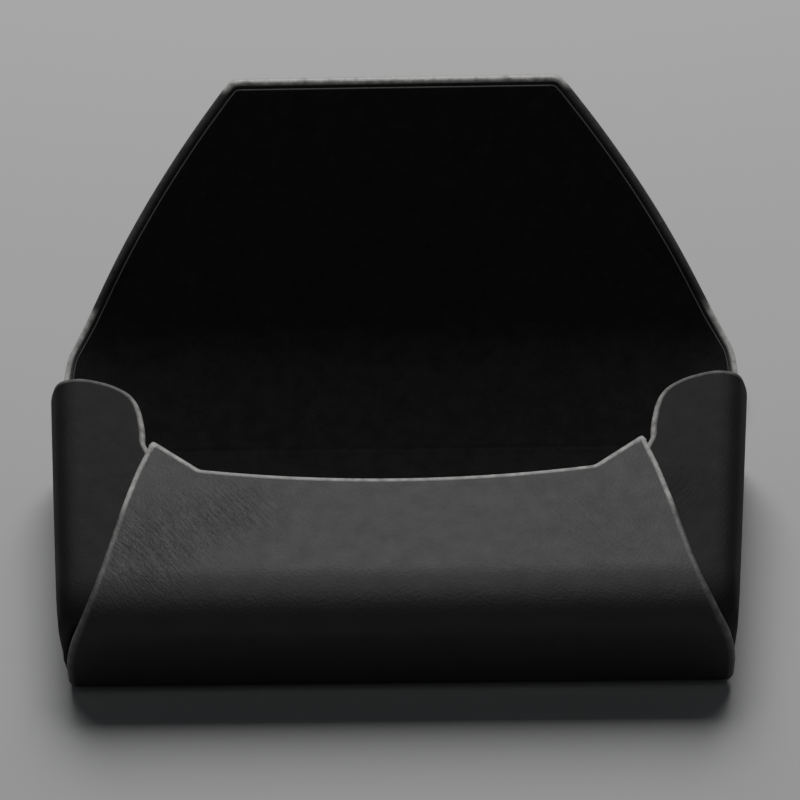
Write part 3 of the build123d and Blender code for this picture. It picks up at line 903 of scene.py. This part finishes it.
# %% Group: slow changes of tone
mottle, m_in, m_out = new_group(
    "mottle", [("Place", VECTOR, None), ("Size", FLOAT, 8.0), ("Amount", FLOAT, 0.2)],
    [("Factor", FLOAT)])
patches = add(mottle, "ShaderNodeTexNoise", [
    ("Vector", m_in.outputs["Place"]),
    ("Scale", maths(mottle, "DIVIDE", 1.0, m_in.outputs["Size"]))])
patches.inputs["Detail"].default_value = 4.0
patches.inputs["Roughness"].default_value = 0.6
swing = maths(mottle, "MULTIPLY", maths(mottle, "SUBTRACT", patches.outputs["Fac"], 0.5),
              maths(mottle, "MULTIPLY", m_in.outputs["Amount"], 4.0))
mottle.links.new(maths(mottle, "ADD", swing, 1.0), m_out.inputs["Factor"])
print("mottle:", len(mottle.nodes), "nodes")

# %% [markdown]
# ## Wear and painted highlight along edges
#
# A turned edge loses its dye first, and it also catches the light; this mask paints
# both, the wear and a highlight, as paler colour. A pointiness node would find edges
# too, but it depends on how dense the mesh is. Every skin knows its distance from its
# free edge, so the mask falls from there, made uneven by noise.

# %% Group: wear and painted highlight along edges
wear_and_highlight, w_in, w_out = new_group(
    "edge_wear_and_highlight", [("From Edge", FLOAT, 5.0), ("Place", VECTOR, None),
                  ("Width", FLOAT, 1.4)], [("Mask", FLOAT)])
near = maths(wear_and_highlight, "SUBTRACT", 1.0, maths(
    wear_and_highlight, "DIVIDE", w_in.outputs["From Edge"], w_in.outputs["Width"]), clamp=True)
rubbed_and_highlit = add(wear_and_highlight, "ShaderNodeTexNoise", [("Vector", w_in.outputs["Place"])])
rubbed_and_highlit.inputs["Scale"].default_value = 0.45
rubbed_and_highlit.inputs["Detail"].default_value = 5.0
uneven = maths(wear_and_highlight, "ADD", maths(wear_and_highlight, "MULTIPLY", rubbed_and_highlit.outputs["Fac"], 1.7), -0.05)
wear_and_highlight.links.new(maths(wear_and_highlight, "MULTIPLY", maths(wear_and_highlight, "POWER", near, 0.7), uneven, clamp=True),
               w_out.inputs["Mask"])
print("edge_wear_and_highlight:", len(wear_and_highlight.nodes), "nodes")

# %% [markdown]
# ## Crease lines in bent leather
#
# Where hide has been flexed it shows short, wavy lines that all run about one way.
# Stretched noise has its middle value on such lines, so the distance from that
# value, cut off early, draws them as narrow valleys.

# %% Group: crease lines in bent leather
lines, l_in, l_out = new_group(
    "crease_lines", [("Place", VECTOR, None), ("Turn", FLOAT, 0.9)],
    [("Height", FLOAT)])
spin = add(lines, "ShaderNodeVectorRotate", [("Vector", l_in.outputs["Place"]),
                                             ("Angle", l_in.outputs["Turn"])],
           rotation_type="Z_AXIS")
drawn = add(lines, "ShaderNodeMapping", [("Vector", spin.outputs[0])])
drawn.inputs["Scale"].default_value = (0.2, 1.0, 1.0)
folds = add(lines, "ShaderNodeTexNoise", [("Vector", drawn.outputs[0])])
folds.inputs["Scale"].default_value = 1.0
folds.inputs["Detail"].default_value = 2.5
folds.inputs["Distortion"].default_value = 1.1
ridge = maths(lines, "ABSOLUTE", maths(lines, "SUBTRACT", folds.outputs["Fac"], 0.5))
sharp = maths(lines, "MULTIPLY", ridge, 9.0, clamp=True)
lines.links.new(sharp, l_out.inputs["Height"])
print("node groups:", [g.name for g in bpy.data.node_groups])

# %% [markdown]
# ## Helpers for materials
#
# Every material here is a Principled shader with a few sockets fed by the groups
# above. The helpers keep each one down to the lines that make it different.


# %% Material helpers
def new_material(name, rough, shine):
    """A material with its constant values set; returns its tree and shader too."""
    material = bpy.data.materials.new(name)
    material.use_nodes = True
    shader = material.node_tree.nodes["Principled BSDF"]
    shader.inputs["Roughness"].default_value = rough
    shader.inputs["Specular IOR Level"].default_value = shine
    return material, material.node_tree, shader


def use(tree, group, links):
    """The first output of a shared group."""
    return add(tree, "ShaderNodeGroup", links, node_tree=group).outputs[0]


def attribute(tree, name):
    """A node that reads a value stored on the mesh."""
    return add(tree, "ShaderNodeAttribute", attribute_name=name)


def tinted(tree, colour, factor):
    """A colour multiplied by a factor."""
    node = add(tree, "ShaderNodeMix", data_type="RGBA", blend_type="MULTIPLY")
    node.inputs["Factor"].default_value = 1.0
    node.inputs["A"].default_value = (*colour, 1)
    tree.links.new(factor, node.inputs["B"])
    return node.outputs["Result"]


def faded(tree, mask, a, b):
    """Colour a where the mask is 0 and b where it is 1."""
    node = add(tree, "ShaderNodeMix", data_type="RGBA")
    tree.links.new(mask, node.inputs["Factor"])
    for socket, value in (("A", a), ("B", b)):
        if hasattr(value, "is_output"):
            tree.links.new(value, node.inputs[socket])
        else:
            node.inputs[socket].default_value = (*value, 1)
    return node.outputs["Result"]


def bumped(tree, shader, height, strength, reach):
    """Bump from a height, reach mm deep."""
    bump = add(tree, "ShaderNodeBump", [("Height", height)])
    bump.inputs["Strength"].default_value = strength
    bump.inputs["Distance"].default_value = reach * MM
    tree.links.new(bump.outputs["Normal"], shader.inputs["Normal"])


print("made: new_material, use, attribute, tinted, faded and bumped")

# %% [markdown]
# ## Black hide
#
# Satin hide reflects little and softly: a near-black colour, middle roughness, and
# bump from the grain. Its rubbed edges are smoother, and paler from wear and from a
# painted highlight on the rims. Hands polish the front panel and the flap, while the
# tucked wings keep the duller look of new hide, so one function makes both finishes.

# %% Black hide
# the second colour is worn hide, made pale enough to serve also as painted highlight on the
# rims
DYED, BARE_AND_HIGHLIGHT = (0.0125, 0.0125, 0.0128), (0.42, 0.413, 0.4)
WEAR_AND_HIGHLIGHT_WIDTH, WEAR_POLISH = 1.7, 0.26  # mm from the edge, and how much smoother it gets


def leather(name, rough, shine):
    """Black hide with rubbed edges, paler from wear and painted highlight, at a given
    roughness and shine.
    """
    material, tree, shader = new_material(name, rough, shine)
    place = attribute(tree, "lay").outputs["Vector"]
    edge = attribute(tree, "from_edge").outputs["Fac"]
    worked = attribute(tree, "worked").outputs["Fac"]
    rubbed_and_highlit = attribute(tree, "rubbed_and_highlit").outputs["Fac"]
    worn_and_highlit = use(tree, wear_and_highlight, [("From Edge", edge), ("Place", place),
                          ("Width", WEAR_AND_HIGHLIGHT_WIDTH)])
    # mask of edge wear and painted highlight: it pales the colour and smooths the finish
    rub_and_highlight = maths(tree, "MULTIPLY", rubbed_and_highlit, worn_and_highlit, clamp=True)
    tone = use(tree, mottle, [("Place", place), ("Size", 11.0), ("Amount", 0.16)])
    body = tinted(tree, DYED, tone)
    tree.links.new(faded(tree, rub_and_highlight, body, BARE_AND_HIGHLIGHT), shader.inputs["Base Color"])
    cloudy = use(tree, mottle, [("Place", place), ("Size", 5.0), ("Amount", 0.06)])
    tree.links.new(maths(tree, "SUBTRACT", maths(tree, "MULTIPLY", cloudy, rough),
                         maths(tree, "MULTIPLY", rub_and_highlight, WEAR_POLISH), clamp=True),
                   shader.inputs["Roughness"])
    fine = use(tree, grain, [("Place", place), ("Cells per mm", 1.5)])
    folded = use(tree, lines, [("Place", place), ("Turn", 0.9)])
    deep = maths(tree, "MULTIPLY", maths(tree, "MULTIPLY", folded, worked), 1.3)
    bumped(tree, shader, maths(tree, "ADD", fine, deep), 0.55, 0.09)
    return material


hide = leather("black_hide", 0.56, 0.42)
dull_hide = leather("black_hide_dull", 0.62, 0.13)
print("leathers:", hide.name, dull_hide.name)

# %% [markdown]
# ## Black suede
#
# Suede has almost no reflection, only a faint sheen from its upright fibres and a
# mottled nap where it has been stroked. Its cut edge shows paler fibres and, on top
# of them, a painted highlight, in a narrow line beside the hem. Hair particles would
# be far too heavy for a nap this short.

# %% Black suede
NAP, CUT_FIBRE_AND_HIGHLIGHT = (0.0082, 0.0082, 0.0085), (0.16, 0.16, 0.16)
suede, tree, shader = new_material("black_suede", 0.95, 0.12)
shader.inputs["Sheen Weight"].default_value = 0.06
shader.inputs["Sheen Roughness"].default_value = 0.45
place = attribute(tree, "lay").outputs["Vector"]
edge = attribute(tree, "from_edge").outputs["Fac"]
nap = use(tree, mottle, [("Place", place), ("Size", 4.0), ("Amount", 0.3)])
speck = use(tree, mottle, [("Place", place), ("Size", 0.55), ("Amount", 0.35)])
pile = tinted(tree, NAP, maths(tree, "MULTIPLY", nap, speck))
# pale line at the cut edge: paler fibres plus painted highlight
cut = maths(tree, "MULTIPLY", maths(tree, "SUBTRACT", HEM + 0.5, edge), 2.5, clamp=True)
tree.links.new(faded(tree, cut, pile, CUT_FIBRE_AND_HIGHLIGHT), shader.inputs["Base Color"])
bumped(tree, shader, use(tree, grain, [("Place", place), ("Cells per mm", 2.6)]), 0.5, 0.12)
print("suede:", suede.name)

# %% [markdown]
# ## The hidden materials
#
# Board, keepers and magnets are shut inside the case, but get a finish too, for the
# day it is taken apart. They carry no flat sheet, so they read object coordinates.


# %% Greyboard, steel and nickel
def in_mm(tree):
    """The place on a solid in millimetres."""
    place = add(tree, "ShaderNodeVectorMath", [
        (0, add(tree, "ShaderNodeTexCoord").outputs["Object"])], operation="SCALE")
    place.inputs["Scale"].default_value = 1 / MM
    return place.outputs[0]


board, tree, shader = new_material("greyboard", 0.9, 0.3)
fibre = use(tree, mottle, [("Place", in_mm(tree)), ("Size", 1.2), ("Amount", 0.2)])
tree.links.new(tinted(tree, (0.31, 0.27, 0.21), fibre), shader.inputs["Base Color"])
bumped(tree, shader, fibre, 0.4, 0.05)


def metal(name, colour, rough):
    """A bare metal with a slightly uneven haze."""
    material, tree, shader = new_material(name, rough, 0.5)
    shader.inputs["Metallic"].default_value = 1.0
    haze = use(tree, mottle, [("Place", in_mm(tree)), ("Size", 1.5), ("Amount", 0.25)])
    shader.inputs["Base Color"].default_value = (*colour, 1)
    tree.links.new(maths(tree, "MULTIPLY", haze, rough), shader.inputs["Roughness"])
    return material


steel = metal("keeper_steel", (0.55, 0.55, 0.56), 0.35)
nickel = metal("magnet_nickel", (0.7, 0.68, 0.64), 0.2)
print("hidden:", board.name, steel.name, nickel.name)

# %% [markdown]
# ## Give every piece its finish
#
# One hide, satin where it is handled and duller on the wings, and one suede
# throughout. Each material is added to the mesh.

# %% Finishes on the pieces
leather_pieces = [front, back, flap, *wings]
suede_pieces = [front_suede, back_suede, flap_suede, *wing_suedes]
for piece in leather_pieces:
    piece.data.materials.append(dull_hide if piece in wings else hide)
for piece in suede_pieces:
    piece.data.materials.append(suede)
print(len(leather_pieces), "leather and", len(suede_pieces), "suede pieces")

# %% [markdown]
# ## Which part each piece moves with
#
# The CAD model moves as three rigid bodies: the case, the flap's first panel and the
# flap. The front panel and the wings, with their linings and boards, ride on the case's
# body. The back and the flap, with their linings, stay where they were built and ride
# on no body. Each piece takes the place of the CAD nodes it covers.

# %% Ride and replace
BEND_1, BEND_2 = 4.5, 8.0  # how far each side of a crease the sheet bends


def crease_ends(s, reach):
    """The two ends of the stretch that bends over the crease at length s."""
    out = []
    for t in (s - reach, s + reach):
        y, z, _ = long_path.at(t)
        out.append(tuple(in_frame([(0, y, z)])[0]))
    return out


for piece, nodes in ((front, ["front_leather"]), (wings[0], ["wing_leather_right"]),
                     (wings[1], ["wing_leather_left"]), (front_suede, ["front_lining"]),
                     (wing_suedes[0], ["wing_lining_right"]),
                     (wing_suedes[1], ["wing_lining_left"]),
                     (wing_boards[0], ["wing_board_right"]),
                     (wing_boards[1], ["wing_board_left"])):
    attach(piece, "case")
    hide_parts(*nodes)
ends_1, ends_2 = crease_ends(CREASE_1, BEND_1), crease_ends(CREASE_2, BEND_2)
for piece, nodes in ((back, ["back_leather"]), (back_suede, ["back_lining"])):
    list(ends_1)
    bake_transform(piece)
    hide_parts(*nodes)
for piece, nodes in ((flap, ["flap_leather", "wall_leather"]),
                     (flap_suede, ["flap_lining", "wall_lining"])):
    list(ends_2)
    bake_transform(piece)
    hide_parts(*nodes)
for piece in wing_boards:
    piece.data.materials.append(board)
for name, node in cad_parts.items():
    if not node.hide_render:
        node.data.materials.clear()
        node.data.materials.append(
            steel if "keeper" in name else nickel if "magnet" in name else board)
print("bends over", 2 * BEND_1, "mm and", 2 * BEND_2, "mm of the sheet")

# %% [markdown]
# ## Floor and room
#
# A plain pale floor shows the black outline clearly. It lies at the table's height
# and is named floor, so it isn't taken for part of the case. The room itself
# gives only a little light, which keeps the shadows deep.

# %% Floor and room
floor_mesh = bpy.data.meshes.new("floor")
floor_mesh.from_pydata([(-3, -3, 0), (3, -3, 0), (3, 3, 0), (-3, 3, 0)], [], [(0, 1, 2, 3)])
floor = bpy.data.objects.new("floor", floor_mesh)
bpy.context.scene.collection.objects.link(floor)
floor_finish, tree, shader = new_material("pale_floor", 0.85, 0.2)
shader.inputs["Base Color"].default_value = (0.72, 0.72, 0.72, 1)
floor.data.materials.append(floor_finish)

world = bpy.data.worlds.new("soft_room")
world.use_nodes = True
world.node_tree.nodes["Background"].inputs["Color"].default_value = (0.6, 0.62, 0.65, 1)
world.node_tree.nodes["Background"].inputs["Strength"].default_value = 0.06
bpy.context.scene.world = world
print("stage:", floor.name, "in", world.name)

# %% [markdown]
# ## Softboxes
#
# Black leather is drawn by what it reflects. A box behind the case lies where the
# front panel mirrors it, which gives the panel its sheen. A second box above carries
# that sheen over the bend. It lights only the case, because the floor would turn
# white under it.


# %% Softboxes
def softbox(name, place, aim, size, power):
    """A rectangular area light that faces a point."""
    light = bpy.data.lights.new(name, "AREA")
    light.shape = "RECTANGLE"
    light.size, light.size_y = size
    light.energy = power
    box = bpy.data.objects.new(name, light)
    box.location = place
    box.rotation_euler = (Vector(aim) - Vector(place)).to_track_quat("-Z", "Y").to_euler()
    bpy.context.scene.collection.objects.link(box)
    return box


CENTRE = (0, 0, 0.02)
softbox("back_box", (0.0, 0.75, 0.95), CENTRE, (0.75, 0.7), 9.8)
top_box = softbox("top_box", (0.0, -0.35, 1.15), CENTRE, (0.7, 0.9), 5.6)
lit = bpy.data.collections.new("lit_by_top_box")
for piece in leather_pieces + suede_pieces:
    lit.objects.link(piece)
top_box.light_linking.receiver_collection = lit

# %% [markdown]
# ## Camera
#
# The camera looks down at the open case from the front with a long lens, which keeps
# its sides nearly parallel. Angles round a point are easier to change than places.

# %% Camera
FIELD = math.radians(16.42)
camera_data = bpy.data.cameras.new("camera")
camera_data.angle = FIELD
camera_data.clip_start = 0.05
camera = bpy.data.objects.new("camera", camera_data)
bpy.context.scene.collection.objects.link(camera)
AIM, FAR = Vector((0.0002, 0.01175, 0.015)), 0.700
ELEVATION, YAW, ROLL = (math.radians(a) for a in (43.06, 1.46, -1.74))
backward = Vector((math.sin(YAW) * math.cos(ELEVATION),
                   -math.cos(YAW) * math.cos(ELEVATION), math.sin(ELEVATION)))
rightward = Vector((0, 0, 1)).cross(backward).normalized()
upward = backward.cross(rightward)
right_2 = math.cos(ROLL) * rightward + math.sin(ROLL) * upward
up_2 = -math.sin(ROLL) * rightward + math.cos(ROLL) * upward
turned = Matrix((right_2, up_2, backward)).transposed().to_4x4()
camera.matrix_world = Matrix.Translation(AIM + backward * FAR) @ turned
bpy.context.scene.camera = camera
print(f"the camera stands {FAR} m away, {math.degrees(ELEVATION):.1f} degrees up")
